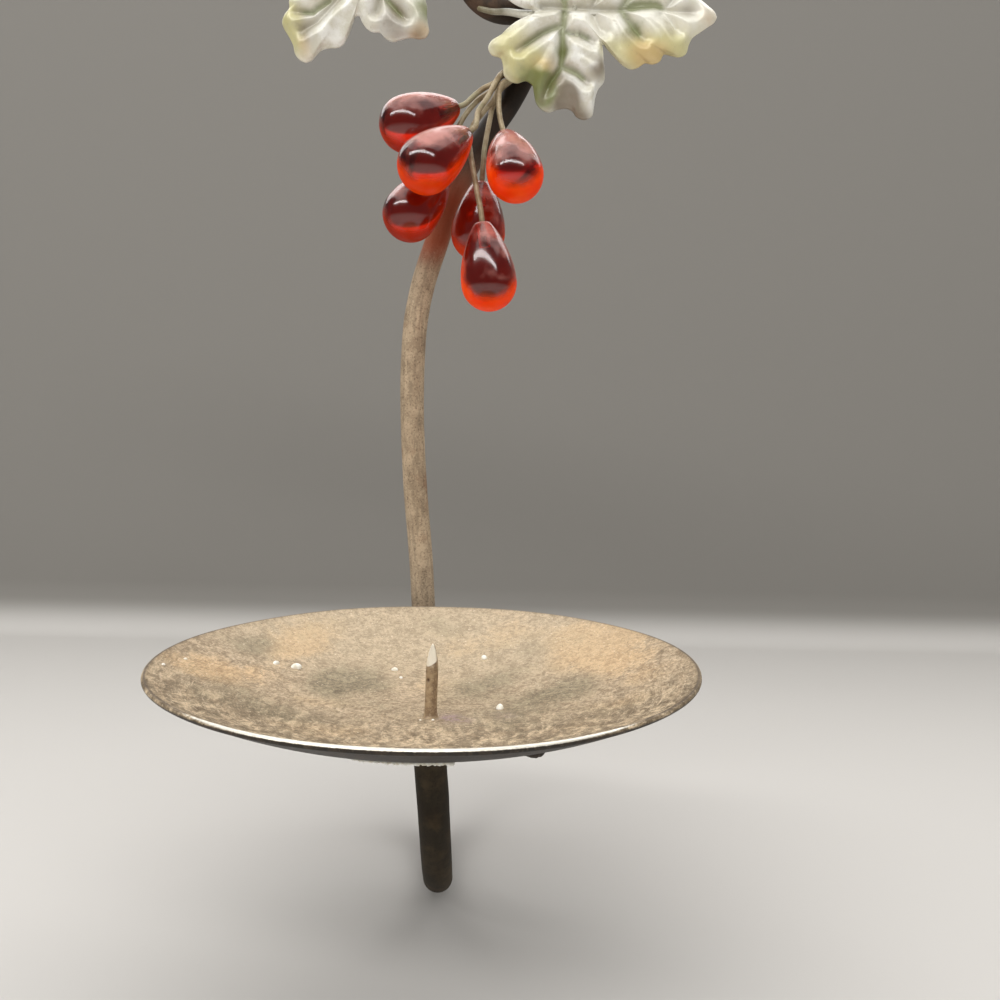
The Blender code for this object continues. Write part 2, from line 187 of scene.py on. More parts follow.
# Even steps along a curve through the points: cubic spans with the chords' slopes.
def smoothRoute(points, step, count=None):
    pts = np.array(points, float)
    chord = np.linalg.norm(np.diff(pts, axis=0), axis=1)
    slope = np.gradient(pts, lengths(pts), axis=0)
    u = np.linspace(0, 1, 16, endpoint=False)[None, :, None]
    a, b = pts[:-1, None], pts[1:, None]
    along = chord[:, None, None]
    fine = (
        (2 * u**3 - 3 * u**2 + 1) * a + (u**3 - 2 * u**2 + u) * along * slope[:-1, None]
        + (3 * u**2 - 2 * u**3) * b + (u**3 - u**2) * along * slope[1:, None]
    )
    fine = np.concatenate([fine.reshape(-1, pts.shape[1]), pts[-1:]])
    run = lengths(fine)
    at = np.linspace(0, run[-1], count or max(2, round(run[-1] / step)) + 1)
    return np.column_stack([np.interp(at, run, fine[:, k]) for k in range(pts.shape[1])])


# A tube round a path with half a ball at both ends, and how far along it each ring is:
# point = path + radius * (cos(a) * side + sin(a) * front), with side nearest to the given direction.
def sweep(path, radius, sides, across):
    ahead = unit(np.gradient(path, axis=0))
    over = np.radians([80, 62, 44, 26, 10])
    first = path[0] - ahead[0] * (radius[0] * np.sin(over))[:, None]
    last = path[-1] + ahead[-1] * (radius[-1] * np.sin(over[::-1]))[:, None]
    path = np.concatenate([first, path, last])
    radius = np.concatenate([radius[0] * np.cos(over), radius, radius[-1] * np.cos(over[::-1])])
    ahead = np.pad(ahead, ((len(over), len(over)), (0, 0)), "edge")
    across = np.broadcast_to(across, path.shape)
    side = unit(across - np.einsum("ij,ij->i", across, ahead)[:, None] * ahead)
    ring = rings(circle(sides), side, np.cross(ahead, side))
    return path[:, None] + radius[:, None, None] * ring, lengths(path)


# The direction that stays furthest from the path's own, so that a tube doesn't twist.
def calmSide(path):
    ahead = unit(np.gradient(path, axis=0))
    turn, rise = np.meshgrid(circle(24), np.linspace(-1.4, 1.4, 9))
    tries = joined(np.cos(turn) * np.cos(rise), np.sin(turn) * np.cos(rise), np.sin(rise)).reshape(-1, 3)
    return tries[np.argmin(np.abs(tries @ ahead.T).max(1))]


def addObject(name, data):
    thing = bpy.data.objects.new(name, data)
    bpy.context.scene.collection.objects.link(thing)
    return thing


def addMesh(name, points, faces, material):
    mesh = bpy.data.meshes.new(name)
    mesh.from_pydata(points.tolist(), [], faces.tolist())
    mesh.shade_smooth()
    mesh.materials.append(material)
    return addObject(name, mesh)


# Two triangles a cell over a grid that closes round, and each end row closed on its middle.
def gridFaces(rows, columns):
    here = np.arange(rows * columns).reshape(rows, columns)
    after = np.roll(here, -1, 1)
    a, b, c, d = here[:-1], after[:-1], after[1:], here[1:]
    ends = joined(rows * columns, after[0], here[0]), joined(rows * columns + 1, here[-1], after[-1])
    return np.concatenate([joined(a, b, c).reshape(-1, 3), joined(a, c, d).reshape(-1, 3), *ends])


# A grid as a list, with the middles of its first and last rows at the end.
def listed(grid):
    ends = np.stack([grid[0].mean(0), grid[-1].mean(0)])
    return np.concatenate([grid.reshape(-1, *grid.shape[2:]), ends])


# A piece from grids, each a closed shell turned outwards by the sign of its volume: the sum over the
# faces of a . (b x c) / 6. Layers are values or vectors over the first grid.
def makePiece(name, grids, material, replaced=(), layers=None):
    points, faces, start = [], [], 0
    for grid in grids:
        spots, cells = listed(grid), gridFaces(*grid.shape[:2])
        a, b, c = spots[cells.T]
        if np.einsum("ij,ij->i", a, np.cross(b, c)).sum() < 0:
            cells = cells[:, ::-1]
        points.append(spots)
        faces.append(cells + start)
        start += len(spots)
    piece = addMesh(name, np.concatenate(points), np.concatenate(faces), material)
    for key, values in (layers or {}).items():
        values = listed(values).astype(np.float32)
        kind, field = ("FLOAT_VECTOR", "vector") if values.ndim == 2 else ("FLOAT", "value")
        piece.data.attributes.new(key, kind, "POINT").data.foreach_set(field, values.ravel())
    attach(piece, "root")
    if replaced:
        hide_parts(*replaced)


rod = {
    "radius": 0.004, "step": 0.0009, "sides": 36,
    "eyeRadius": 0.01435, "eyeEnd": 292,
    "vine": (
        (-0.03, -0.1383), (-0.0291, -0.125), (-0.0268, -0.113), (-0.0224, -0.099),
        (-0.0178, -0.085), (-0.0122, -0.0735), (-0.0053, -0.0624), (0.0003, -0.0542),
        (0.0052, -0.045), (0.009, -0.036), (0.012, -0.0265),
    ),
    "stem": ((0.31, -0.0265), (0.6, -0.029), (0.85, -0.0301)),
    "reach": 0.103, "bendZ": -0.2374, "bulge": 0.0036,
    "postX": -0.0157, "footX": -0.0246, "postTop": -0.2307,
    "flat": 0.012, "lumps": 0.01, "most": 1.004, "endTaper": 0.0028,
}
wallY = -rod["radius"]
eyeZ = rod["radius"] - rod["eyeRadius"]
postY = wallY - rod["reach"]
vineFoot = rod["vine"][0][1]


def eyePoint(degrees, outside=0.0, forward=0.0):
    angle = math.radians(degrees)
    reach = rod["eyeRadius"] + outside
    return (reach * math.cos(angle), wallY - forward, eyeZ + reach * math.sin(angle))


# From the post's top round the bend, up the stem and the vine, and round the eye.
def rodRoute():
    bend, low = rod["reach"] / 2, rod["bendZ"]
    angle = np.radians(np.arange(0, 181, 15))
    share = angle / math.pi
    across = share * share * (3 - 2 * share)
    turnX = rod["postX"] + (rod["footX"] - rod["postX"]) * across + rod["bulge"] * np.sin(angle)
    turn = joined(turnX, postY + bend * (1 - np.cos(angle)), low - bend * np.sin(angle))
    post = [(rod["postX"], postY, z) for z in (rod["postTop"], (rod["postTop"] + low) / 2)]
    stem = [(x, wallY, low + (vineFoot - low) * up) for up, x in rod["stem"]]
    vine = [(x, wallY, z) for x, z in rod["vine"]]
    eye = [eyePoint(degrees) for degrees in (*range(0, rod["eyeEnd"], 20), rod["eyeEnd"])]
    path = smoothRoute([*post, *turn.tolist(), *stem, *vine, *eye], rod["step"])
    path[:, 1] = np.minimum(path[:, 1], wallY)
    return path


route = rodRoute()


# Tan; a darker brown above with painted shade of the leaves over it, a painted shadow nearly black just under
# the leaves, painted shade on the bend and post under the dish, and painted red light from the berries on the
# vine's front behind them.
def rodFinish():
    paint = Paint("rodLacquer")
    place, cloud, grain = paint.clouds(130, 1500)
    height = paint.part(place)
    streak = paint.noise(paint.scaled(paint.layer("skin", "Vector"), (1, 1, 0.16)), 900, 4, 0.6)
    colour = paint.coats(
        (164, 143, 118),
        (cloud, 0.3, 0.7, 1, (202, 179, 150)), (streak, 0.45, 0.62, 0.5, (136, 119, 98)),
        (grain, 0.56, 0.66, 0.6, (206, 186, 156)), (grain, 0.44, 0.36, 0.6, (104, 86, 68)),
        (paint.noise(place, 60, 3, 0.6), 0.54, 0.68, 0.5, (140, 96, 68)),
    )
    # Above the vine's foot: partly a darker lacquer, partly painted shade of the leaves.
    darkAndLeafShade = paint.coats((50, 38, 32), (cloud, 0.42, 0.62, 1, (86, 62, 48)))
    colour = paint.coats(colour, (height + (cloud - 0.5) * 0.04, -0.112, -0.066, 0.92, darkAndLeafShade))
    # Painted red light that the berries throw on the front of the vine behind them.
    berryLight = paint.ease(height, -0.11, -0.099) * paint.ease(height, -0.072, -0.088)
    berryLight = berryLight * paint.ease(paint.part(paint.normal(), "Y"), 0.3, -0.6)
    colour = paint.blend(berryLight * 0.85, colour, (164, 78, 44))
    # A painted shadow of the leaves, nearly black, on the vine just below them.
    leafShadow = paint.ease(height, -0.078, -0.064) * paint.ease(height, -0.02, -0.036)
    colour = paint.blend(leafShadow * 0.75, colour, (24, 20, 17))
    # Painted shade on the bend and post under the dish: a nearly black brown.
    lower = 1 - paint.ease(height, -0.243, -0.205)
    dishShadow = paint.coats((36, 31, 20), (cloud, 0.42, 0.66, 1, (64, 52, 34)))
    colour = paint.blend(lower * 0.95, colour, dishShadow)
    dents = cloud * 0.6 + grain * 0.25 + paint.noise(place, 2600, 2, 0.5) * 0.2
    rough = 0.42 + cloud * 0.18 + grain * 0.1 + lower * 0.22
    return paint.lacquer(colour, rough, (dents, 0.0006, 0.35), Metallic=0.25, Specular_IOR_Level=0.35)


# The bar is a little uneven, as bent by hand, and never much over its size.
def makeRod():
    ahead = unit(np.gradient(route, axis=0))
    inPlane = unit(joined(-ahead[:, 2], 0, ahead[:, 0]))
    sideways = np.array([[-1.0, 0, 0]]) + ahead[:, :1] * ahead
    side = unit(np.where((route[:, 2] > vineFoot)[:, None], inPlane, sideways))
    run = lengths(route)
    turn = circle(rod["sides"])
    sway = 1 + rod["lumps"] * waves(run, 3, 170)[:, None]
    flat = 1 + rod["flat"] * np.cos(2 * turn + 90 * run[:, None]) * (1 + waves(run, 4, 60)[:, None]) / 2
    radius = np.minimum(rod["radius"] * sway * flat, rod["radius"] * rod["most"])
    left = np.clip((run[-1] - run) / rod["endTaper"], 0, 1)
    radius = radius * np.sqrt(np.clip(1 - (1 - left) ** 2, 0.02, 1))[:, None]
    grid = route[:, None] + radius[..., None] * rings(turn, side, np.cross(ahead, side))
    skin = joined(rod["radius"] * np.cos(turn), rod["radius"] * np.sin(turn), run[:, None])
    makePiece("rod", [grid], rodFinish(), ["vine_rod"], {"skin": skin})


dish = {
    "radius": 0.066, "depth": 0.0137, "middle": (-0.0169, -0.104), "rim": -0.2155,
    "seat": 0.0138, "sheet": 0.0012, "bead": 0.0007, "columns": 288,
    "wobble": 0.00022, "dent": 0.0001, "proud": 0.0003, "swirl": (2300, 20),
    # rows of points
    "seatRows": 14, "slopeRows": 72, "beadRows": 24,
    # rows from the bead's first: the start of the underside's painted shade, how much sooner in front, and
    # its fade, then the middle and width of the worn edge's painted highlight and of the dark line
    "under": (13, 4, 4), "wornGlint": (7.5, 4.8), "line": (5, 3.4),
    # patches of finish, in mm from the dish's middle: x, y, size, strength
    "grey": (
        (-26, 22, 8, 1), (-18, 24, 8, 0.8), (-28, 13, 6, 0.7), (-50, 26, 6, 0.9), (-47, 32, 4, 0.6),
        (36, 11, 8, 0.9), (28, 9, 8, 0.6), (-10, 6, 8, 0.5), (18, 26, 9, 0.6), (10, 18, 8, 0.55),
        (26, 40, 8, 0.45), (2, 58, 9, 0.4), (-44, -3, 7, 0.6), (-35, -10, 8, 0.8), (-52, -14, 8, 0.7),
        (16, -2, 9, 0.8), (24, -12, 9, 0.7), (4, -8, 7, 0.5), (-6, -34, 14, 0.6), (14, -42, 14, 0.7),
        (38, 18, 6, 0.4), (44, -14, 8, 0.5), (-24, -10, 8, 0.4),
    ),
    "mauve": ((5.5, -3.8, 3.2, 0.8), (9, -5, 2.5, 0.5), (19, -2, 3, 0.3)),
    "rust": (
        (46, 34, 13, 1), (40, 40, 9, 0.8), (50, 22, 9, 0.8), (54, 8, 8, 0.5), (47, -9, 6, 0.7),
        (-55, 5, 8, 1), (-60, 0, 6, 0.8), (-43, 30, 7, 0.8), (-38, 38, 7, 0.8), (-34, 44, 7, 0.5),
        (-46, 12, 8, 0.7), (-16, -20, 8, 0.6), (-27, -21, 8, 0.5), (-30, 2, 7, 0.4), (6, 46, 7, 0.4),
        (20, 52, 9, 0.5), (36, -22, 9, 0.5), (-2, 22, 8, 0.35),
    ),
}
dishHalf = dish["sheet"] / 2
dishLow = -dish["depth"] - dishHalf
dishRise = -dish["bead"] - dishLow
dishEdge = dish["radius"] - dish["bead"]
dishSpan = dishEdge - dish["seat"]


# From the middle of the top over the rim and back underneath: a flat seat, a middle line that rises as
# the square of the way out, half the sheet to each side of it, and a round bead.
def dishProfile():
    share = np.linspace(0, 1, dish["slopeRows"], endpoint=False)
    slope = np.arctan(2 * share * dishRise / dishSpan)
    middle = joined(dish["seat"] + dishSpan * share, dishLow + dishRise * share**2)
    across = dishHalf * joined(-np.sin(slope), np.cos(slope))
    turn = np.linspace(math.pi * 0.75, -math.pi * 0.45, dish["beadRows"])
    bead = joined(dishEdge + dish["bead"] * np.cos(turn), dish["bead"] * (np.sin(turn) - 1))
    seat = joined(np.linspace(0.0004, dish["seat"], dish["seatRows"], endpoint=False), dishLow + dishHalf)
    under = seat[::-1] * (1, 0) + (0, dishLow - dishHalf)
    return np.concatenate([seat, middle + across, bead, (middle - across)[::-1], under])


# How far the sheet is out of true, with soft dents between seat and rim.
def dishSway(reach, turn):
    share = reach / dish["radius"]
    lift = np.sin(2 * turn + 0.7) + 0.6 * np.sin(3 * turn + 2.0) + 0.3 * np.sin(7 * turn)
    dents = dish["dent"] * np.sin(share * 9 + 3 * np.cos(turn)) * np.sin(2 * turn + share * 4)
    return dish["wobble"] * share**2 * lift + dents * share * (1 - share) * 4


# A point on the sheet's top (side 1) or underside (side -1), mm right of and behind its middle.
def dishPoint(right, back, side=1):
    reach, turn = math.hypot(right, back) * mm, math.atan2(back, right)
    share = max(0.0, (reach - dish["seat"]) / dishSpan)
    height = dishLow + dishRise * share**2 + side * dishHalf
    return np.array([dish["middle"][0] + right * mm, dish["middle"][1] + back * mm,
                     dish["rim"] + height + dishSway(reach, turn)])


# Soft round patches: the sum of strength * exp(-(distance / size) ** 2).
def patches(x, y, spots):
    total = np.zeros(np.shape(x))
    for px, py, size, strength in spots:
        total += strength * np.exp(-((x - px) ** 2 + (y - py) ** 2) / size**2)
    return total


# Mottled tan, calmer behind, streaked in front, with flecks round the rim, painted shade underneath and a
# worn edge with a painted highlight in front.
def dishFinish():
    paint = Paint("dishLacquer")
    place, swirl = paint.place(), paint.layer("swirl", "Vector")
    rim, calm, ahead = (paint.layer(name) for name in ("rim", "calm", "front"))
    cloud = paint.noise(place, 80, 5, 0.62, 0.4)
    blot = paint.noise(place, 300, 5, 0.68, 0.9)
    grain = paint.noise(place, 1100, 4, 0.7)
    pits = paint.noise(place, 2100, 2, 0.5)
    brush = paint.noise(swirl, 1.0, 3, 0.65)
    smear = paint.noise(paint.scaled(swirl, (0.14, 0.24, 0.24)), 1.0, 5, 0.7)
    hair = paint.noise(paint.scaled(place, (1.0, 0.4, 1.0)), 400, 4, 0.7, 0.5)
    mottle = paint.ease(blot * 0.5 + grain * (0.5 - rim * 0.22) + brush * rim * 0.22, 0.38, 0.62)
    mottle = paint.blend(calm * 0.3, mottle, cloud * 0.4 + blot * 0.6)
    tan = paint.blend(mottle, (142, 122, 96), (212, 190, 160))
    warm = paint.blend(mottle, (178, 146, 110), (224, 194, 152))
    cold = paint.blend(mottle, (110, 97, 76), (172, 157, 128))
    drift = (cloud - 0.5) * 1.9 + (blot - 0.5) * 1.4
    colour = paint.coats(tan, (paint.layer("rust") + drift, 0.1, 1.1, 1, warm),
                         (paint.layer("grey") + drift, 0.05, 1.1, 1, cold))
    colour = paint.blend(calm * 0.25, colour, (186, 173, 144))
    colour = paint.blend(ahead * 0.45, colour, (124, 108, 82))
    colour = paint.coats(
        colour,
        (smear, 0.5, 0.6, ahead * 0.4, (224, 196, 160)), (smear, 0.49, 0.39, ahead * 0.5, (96, 80, 56)),
        (hair, 0.53, 0.61, ahead * 0.7, (240, 216, 180)), (hair, 0.49, 0.39, ahead * 0.75, (94, 77, 54)),
        (grain, 0.52, 0.38, 0.06 + ahead * 0.4, (96, 80, 60)),
        (blot, 0.4, 0.6, paint.layer("mauve"), (150, 122, 132)),
        (pits, 0.36, 0.3, 0.6, (84, 66, 50)), (pits, 0.66, 0.72, 0.7, (244, 232, 206)),
        (brush, 0.56, 0.68, rim * 0.75, (238, 218, 188)), (brush, 0.45, 0.32, rim * 0.7, (104, 88, 68)),
    )
    # Painted shade on the underside: a mottled dark brown.
    shade = paint.coats((34, 28, 20), (blot, 0.4, 0.65, 1, (60, 48, 36)),
                        (grain, 0.56, 0.66, 0.3, (112, 96, 74)))
    colour = paint.blend(paint.layer("under"), colour, shade)
    # The front edge: bare metal with a painted highlight, lighter, more metallic and glossier.
    wornGlint = paint.ease(paint.layer("edge") + (grain - 0.5) * 0.4, 0.35, 0.6)
    colour = paint.blend(wornGlint, colour, (240, 235, 222))
    colour = paint.blend(paint.layer("line") * (1 - wornGlint) * 0.85, colour, (84, 70, 54))
    dents = blot * 0.5 + grain * 0.35 + brush * 0.3
    return paint.lacquer(colour, 0.46 + cloud * 0.2 - wornGlint * 0.16, (dents, 0.0007, 0.4),
                         Metallic=0.2 + wornGlint * 0.6, Coat_Weight=0.12, Coat_Roughness=0.35)


def makeDish():
    profile = dishProfile()
    turn = circle(dish["columns"])[None]
    reach, height = profile[:, :1], profile[:, 1:]
    x, y = reach * np.cos(turn), reach * np.sin(turn)
    z = np.minimum(dish["rim"] + height + dishSway(reach, turn), dish["rim"] + dish["proud"])
    grid = joined(x + dish["middle"][0], y + dish["middle"][1], z)
    rows = np.arange(len(profile))[:, None] - dish["seatRows"] - dish["slopeRows"]
    front = np.clip((-np.sin(turn) - 0.62) * 3.6, 0, 1)
    (start, sooner, fade), (out, about) = dish["under"], dish["swirl"]
    wornGlint, line = (np.exp(-(((rows - at) / width) ** 2)) for at, width in (dish["wornGlint"], dish["line"]))
    outer = np.clip((reach / dish["radius"] - 0.5) / 0.35, 0.1, 1) * np.clip(0.5 - 0.6 * np.sin(turn), 0.2, 1)
    layers = {key: patches(x / mm, y / mm, dish[key]) for key in ("grey", "mauve", "rust")}
    layers.update({
        "rim": np.maximum(outer, 0.7 * np.clip(0.2 - y / 0.04, 0, 1)),
        # The underside's painted shade, starting sooner in front.
        "under": np.clip((rows - (start - sooner * front)) / fade, 0, 1),
        # The front edge's painted highlight, and the dark line round the rest.
        "edge": wornGlint * front, "line": line * (1 - front),
        "front": np.clip(0.25 - y / 0.045, 0, 1), "calm": np.clip((y - 0.016) / 0.024, 0, 1),
        "swirl": joined(reach * out, about * np.cos(turn), about * np.sin(turn)),
    })
    makePiece("dish_shell", [grid], dishPaint, ["dish"], layers)


marks = {
    # white specks: mm right of and behind the dish's middle, radius
    "specks": (
        (-42.1, 22.6, 0.8), (-36.9, 23.7, 1.25), (-11.2, 32.1, 0.8), (-9, 27.4, 0.5), (13.4, 39.7, 0.95),
        (18.1, 4.7, 1.1), (-62.6, -6, 0.45), (-60.5, 4, 0.45), (2, -5.6, 0.32), (-1, -5.9, 0.25),
    ),
    # a ragged line of old wax under the front, and its radius from end to end
    "wax": ((-11.5, -46.7), (-5, -47.8), (2, -48.1), (8.6, -47.3)), "waxRadius": (0.22, 0.45),
    # a run of lacquer that set under the rim
    "run": ((23.0, -46.0), (25.2, -45.0), (27.4, -43.4)), "runRadius": 0.9,
    "step": 0.0002, "drop": 0.0002, "wander": 0.0001, "least": 0.00008,
}
upward = np.array([0, 0, 1.0])


def waxFinish():
    paint = Paint("oldWax")
    cloud = paint.noise(paint.place(), 900, 3, 0.6)
    colour = paint.coats((232, 226, 208), (cloud, 0.4, 0.62, 1, (252, 250, 242)))
    return paint.lacquer(colour, 0.45 + cloud * 0.1, (cloud, 0.0004, 0.4))


# A speck is a flat drop, half sunk, with an uneven outline.
def makeMarks():
    wax = waxFinish()
    rise = np.radians(np.linspace(80, -80, 9))[:, None]
    turn = circle(18)[None]
    grids = []
    for number, (right, back, size) in enumerate(marks["specks"]):
        sway = 1 + 0.18 * np.sin(2 * turn + number) + 0.1 * np.sin(3 * turn + 2 * number)
        reach = size * mm * sway * np.cos(rise)
        spot = joined(reach * np.cos(turn), reach * np.sin(turn), 0.95 * size * mm * np.sin(rise))
        grids.append(spot + dishPoint(right, back))
    makePiece("wax_specks", grids, wax)
    below = [dishPoint(*spot, -1) - upward * marks["drop"] for spot in marks["wax"]]
    path = smoothRoute(below, marks["step"])
    share = np.linspace(0, 1, len(path))
    thin, thick = marks["waxRadius"]
    radius = (thin + (thick - thin) * share) * mm * (1 + 0.5 * waves(share * 60, 41))
    radius = np.maximum(radius * np.clip(share * 12, 0.3, 1), marks["least"])
    path = path + marks["wander"] * joined(0, waves(share * 50, 42), waves(share * 70, 43))
    makePiece("wax_line", [sweep(path, radius, 12, upward)[0]], wax)
    path = smoothRoute([dishPoint(*spot, -1) for spot in marks["run"]], marks["step"])
    share = np.linspace(0, 1, len(path))
    radius = marks["runRadius"] * mm * np.clip(np.sin(math.pi * share), 0.12, 1)
    grid = sweep(path, radius * (1 + 0.15 * waves(share * 9, 44)), 20, upward)[0]
    # The run takes the underside's colour, painted shade included.
    layers = {"under": 1 + 0 * grid[..., 0], "swirl": grid * 400}
    makePiece("rim_run", [grid], dishPaint, (), layers)


spike = {
    "radius": 0.0015, "height": 0.018, "seat": -0.2292, "tip": 0.0056, "foot": -0.0008, "columns": 40,
    "nick": (0.0094, 235, 0.0005, 0.00028),  # height, degrees round, size, depth
    "lean": 0.0004, "spread": 0.0007, "glintSide": 235,
}


def spikeFinish():
    paint = Paint("spikeSteel")
    place, cloud, grain = paint.clouds(420, 2400)
    skin = paint.coats((138, 116, 92), (cloud, 0.38, 0.62, 1, (178, 156, 126)),
                       (grain, 0.55, 0.7, 0.6, (204, 186, 160)))
    skin = paint.blend(paint.layer("pit"), skin, (70, 44, 34))
    # Bare steel at the tip, with a painted highlight on the side towards the lamps.
    bareGlint = paint.ease(paint.layer("bareAndGlint") + (cloud - 0.5) * 0.5, 0.4, 0.6)
    colour = paint.blend(bareGlint, skin, (248, 240, 222))
    return paint.lacquer(colour, 0.42 - bareGlint * 0.1, (grain + cloud, 0.0003, 0.35),
                         Metallic=0.3 - bareGlint * 0.1)


# A pin with a tip that bulges as it narrows and is cut flat in front, a spread foot and one rust pit.
def makeSpike():
    shoulder = spike["height"] - spike["tip"]
    up = np.concatenate([np.linspace(spike["foot"], shoulder, 60),
                         spike["height"] - spike["tip"] * (1 - np.linspace(0, 1, 37)[1:] ** 0.85)])[:, None]
    turn = circle(spike["columns"])[None]
    top = np.clip((up - spike["height"] + spike["tip"]) / spike["tip"], 0, 1)
    narrow = 0.55 * np.sqrt(np.clip(1 - top**2.0, 0, 1)) + 0.45 * (1 - top)
    radius = spike["radius"] * np.maximum(narrow, 0.08) * (1 - 0.02 * waves(up, 8, 900))
    foot = np.exp(-np.clip(up, 0, 1) / spike["spread"])
    height, degrees, size, depth = spike["nick"]
    away = np.hypot(up - height, (turn - math.radians(degrees)) * spike["radius"])
    pit = np.exp(-((away / size) ** 2))
    radius = radius * (1 + 0.35 * foot * (0.8 + 0.3 * np.cos(turn * 3))) - depth * pit
    x, y = radius * np.cos(turn), radius * np.sin(turn)
    y = np.where(top > 0, np.maximum(y, -spike["radius"] * (0.95 - 0.8 * top**0.8)), y)
    lean = spike["lean"] * np.clip(up / spike["height"], 0, 1)
    grid = joined(x + rod["postX"] + lean, y + postY, up + spike["seat"])
    # Bare steel at the tip, brightest on the side towards the lamps: a painted highlight.
    bareAndGlint = np.clip(top * 4 + 0.25 * np.sin(turn * 2), 0, 1)
    bareAndGlint = bareAndGlint * np.clip(0.62 + 0.6 * np.cos(turn - math.radians(spike["glintSide"])), 0, 1)
    makePiece("spike_pin", [grid], spikeFinish(), ["spike"], {"bareAndGlint": bareAndGlint, "pit": pit})


blade = {
    "sheet": 0.0009, "puff": 0.0019, "between": 0.0034, "droop": 0.0022, "span": 0.034,
    "columns": 560, "rings": 54, "edge": 0.0007, "edgeWidth": 0.0013, "groove": 0.0011, "calmEdge": 0.0032,
    "bow": (0.00025, 0.00018), "hollow": 1.7,
}
# Outlines: degrees from the midrib, mm from the middle
halfOutline = (
    (0, 45.4), (2, 44.7), (4.4, 42.6), (6.9, 40.5), (10.9, 38), (13.9, 37.5), (18.4, 37.4), (20.8, 35.9),
    (21.9, 33.4), (23.3, 30.9), (27.7, 30.7), (31.4, 29.2), (33.8, 26.9), (38.4, 26.1), (43.3, 24.6),
    (45.9, 22), (46.5, 19.2), (47.1, 15.9), (48, 13), (51.8, 14.4), (57.6, 17.3), (62.1, 20.6),
    (65.8, 22.9), (72.1, 24.5), (75.7, 26.9), (77.4, 29.1), (79.5, 31.7), (84.3, 32.5), (88.8, 31.4),
    (91.2, 29.7), (94.4, 29.1), (100.4, 29.8), (104.8, 31.1), (109.1, 31), (114, 29.7), (117.5, 27.6),
    (121.6, 25.6), (126.7, 25.6), (130.7, 27.8), (135.4, 29.1), (139.7, 29.2), (144.4, 27.8), (149.4, 27),
    (155.3, 29.1), (159.9, 29.1), (162.7, 27.7), (164.6, 24.2), (168.1, 21.8), (172.4, 18.6), (174.6, 16.4),
    (176.5, 13.8), (180, 12.6),
)
roundOutline = (
    (-94.9, 19.9), (-91.2, 21.2), (-85.7, 22.8), (-81.5, 24.9), (-78.8, 26.6), (-74.8, 27.4), (-70.7, 26.8),
    (-65.6, 25.1), (-57.6, 24.2), (-51.5, 23.9), (-46.7, 22.4), (-43.1, 20.7), (-36.1, 20.3), (-31.4, 19.5),
    (-25.8, 17.7), (-20.6, 16.1), (-18, 16.6), (-17.3, 18.7), (-16.8, 21.3), (-16.3, 23.5), (-15.2, 25.6),
    (-12.5, 27.2), (-7.4, 28.7), (-3.9, 30.5), (-2.6, 32.8), (-1.5, 35.2), (0.3, 36.4), (2.9, 36.9),
    (6.6, 36.6), (10.3, 35.1), (14.7, 34.4), (19.5, 34.2), (22.6, 33.8), (25.6, 32), (27.6, 29.6),
    (31.9, 28.6), (38, 25.2), (45, 19.5), (49, 14.2), (54, 15), (63, 20), (74, 24.5), (81, 30),
    (88, 30.5), (96, 28.2), (105, 29.8), (114, 28), (122, 24), (136, 27), (147, 24.5), (157, 26),
    (168, 18), (180, 12.5), (192, 18), (203, 25), (214, 23), (225, 25), (240, 21.5), (253, 20.5),
)
# Veins in mm: (points along and across the midrib, half width, depth, how green)
lowerVeins = (
    (((-3.2, 0), (-3.9, 5.6), (-3.7, 11.6), (-4.3, 16.7), (-7.7, 21.4), (-9.9, 26.5)), 1.3, 1, 1),
    (((-3.8, 4.1), (-6.9, 4.8), (-10.4, 6.3), (-14.7, 9.1), (-17.9, 11.4)), 1.3, 1, 0.85),
    (((-3, 6.3), (1.6, 6.8), (5.7, 8.9)), 1.2, 0.8, 0.8),
    (((-4, 16.3), (0.8, 18.5), (4, 21.2)), 1.2, 0.9, 0.9),
    (((5, -0.8), (7, 3.2), (8.5, 6.2)), 1.4, 0.6, 0.2),
    (((14.6, -0.6), (18.6, 4.8), (21.5, 7.7)), 1.4, 0.8, 0.9),
    (((27.6, -1.4), (30.7, 2.5), (32.7, 5.5)), 1.4, 0.7, 0.25),
)
midVein = (((-10.1, -1.6), (-4.1, -1.6), (5.3, -1), (14.1, -0.8), (24.2, -2), (30.6, -1.1), (37.4, -0.8)),
           1.4, 1.1, 0.3)
greenVein = (((17.5, -1.6), (21, -2.4), (25.5, -2.6), (29.5, -1.4)), 1.6, 0.9, 1.3)


def mirrored(veins):
    return tuple((tuple((a * 0.99, -b * 0.98 - 1.4) for a, b in line), w, d, g) for line, w, d, g in veins)


